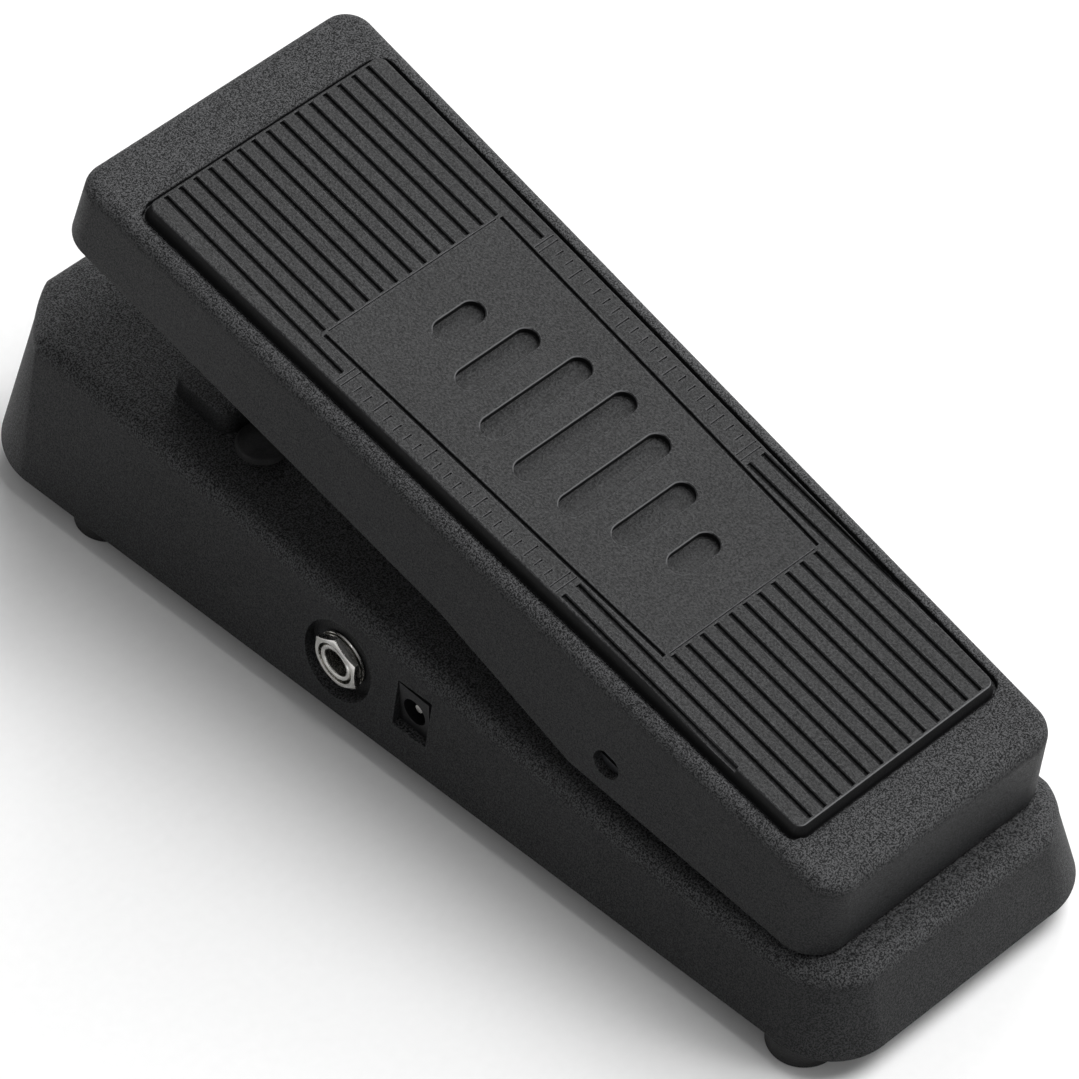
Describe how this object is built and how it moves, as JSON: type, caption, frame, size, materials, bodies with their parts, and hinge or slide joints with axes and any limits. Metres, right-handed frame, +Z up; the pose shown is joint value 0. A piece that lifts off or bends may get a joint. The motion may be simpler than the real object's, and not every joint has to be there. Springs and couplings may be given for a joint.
{
  "type": "guitar effects pedal",
  "caption": "Rocker pedal for a guitar: a ribbed treadle tilts on a cast base and turns a control through a rack and pinion, with a toe switch and sockets at the sides.",
  "frame": {"origin": "centre of the footprint, on the plane that the feet stand on", "axes": "+Z up, +Y towards the toe end, +X towards the player's right"},
  "size_m": [0.1, 0.252, 0.0956],
  "materials": {
    "casting": "matte",
    "mat_rubber": "matte",
    "black_rubber": "matte",
    "plate_steel": "satin",
    "steel": "satin",
    "nickel": "polished",
    "black_plastic": "satin",
    "nylon": "satin",
    "board_green": "satin",
    "component_red": "gloss",
    "component_blue": "gloss",
    "battery_case": "satin"
  },
  "bodies": {
    "base": {"base_housing": "casting", "bottom_plate": "plate_steel", "foot_toe_left": "black_rubber", "foot_toe_right": "black_rubber", "foot_heel_left": "black_rubber", "foot_heel_right": "black_rubber", "foot_screw_toe_left": "steel", "foot_screw_toe_right": "steel", "foot_screw_heel_left": "steel", "foot_screw_heel_right": "steel", "toe_bumper_left": "black_rubber", "toe_bumper_right": "black_rubber", "heel_bumper_left": "black_rubber", "heel_bumper_right": "black_rubber", "pivot_bush_left": "nylon", "pivot_bush_right": "nylon", "friction_washer_left": "steel", "friction_washer_right": "steel", "potentiometer": "plate_steel", "pot_nut": "nickel", "pot_bracket": "steel", "bracket_screw": "steel", "rack_guide": "nylon", "footswitch_body": "black_plastic", "footswitch_nut": "nickel", "output_jack": "black_plastic", "output_jack_washer": "nickel", "output_jack_nut": "nickel", "input_jack": "black_plastic", "input_jack_washer": "nickel", "input_jack_nut": "nickel", "dc_jack": "black_plastic", "dc_jack_pin": "nickel", "circuit_board": "board_green", "board_screw_left": "steel", "board_screw_right": "steel", "inductor": "component_red", "film_capacitor_1": "component_red", "film_capacitor_2": "component_red", "electrolytic_capacitor_1": "component_blue", "electrolytic_capacitor_2": "component_blue", "transistor_1": "black_plastic", "transistor_2": "black_plastic", "resistor": "nylon", "battery": "battery_case", "battery_snap": "black_plastic"},
    "treadle": {"treadle": "casting", "treadle_mat": "mat_rubber", "pivot_axle": "steel", "rack_clevis": "steel", "clevis_pin": "steel", "clevis_screw_heel": "steel", "clevis_screw_toe": "steel", "pivot_set_screw_left": "plate_steel", "pivot_set_screw_right": "plate_steel", "switch_pad": "black_rubber"},
    "rack": {"rack": "nylon"},
    "pinion": {"pinion": "nylon", "pot_shaft": "steel"},
    "footswitch_plunger": {"footswitch_plunger": "nickel"}
  },
  "joints": [
    {"name": "treadle_rock", "type": "hinge", "parent": "base", "child": "treadle", "pos_m": [0, -0.0577, 0.042], "axis": [-1, 0, 0], "range_deg": [0, 11.5]},
    {"name": "rack_swing", "type": "hinge", "parent": "treadle", "child": "rack", "pos_m": [0, 0.00697, 0.04851], "axis": [1, 0, 0], "range_deg": [0, 11.5]},
    {"name": "pinion_turn", "type": "hinge", "parent": "base", "child": "pinion", "pos_m": [0, 0.01412, 0.0235], "axis": [1, 0, 0], "range_deg": [0, 156]},
    {"name": "plunger_press", "type": "slide", "parent": "base", "child": "footswitch_plunger", "axis": [0, 0, -1], "range_m": [0, 0.003], "stiffness_N_per_m": 2000, "springref_m": -0.003}
  ],
  "couplings": [
    {"joint": "rack_swing", "follows": "treadle_rock", "ratio": 1},
    {"joint": "pinion_turn", "follows": "treadle_rock", "ratio": 13.519}
  ]
}
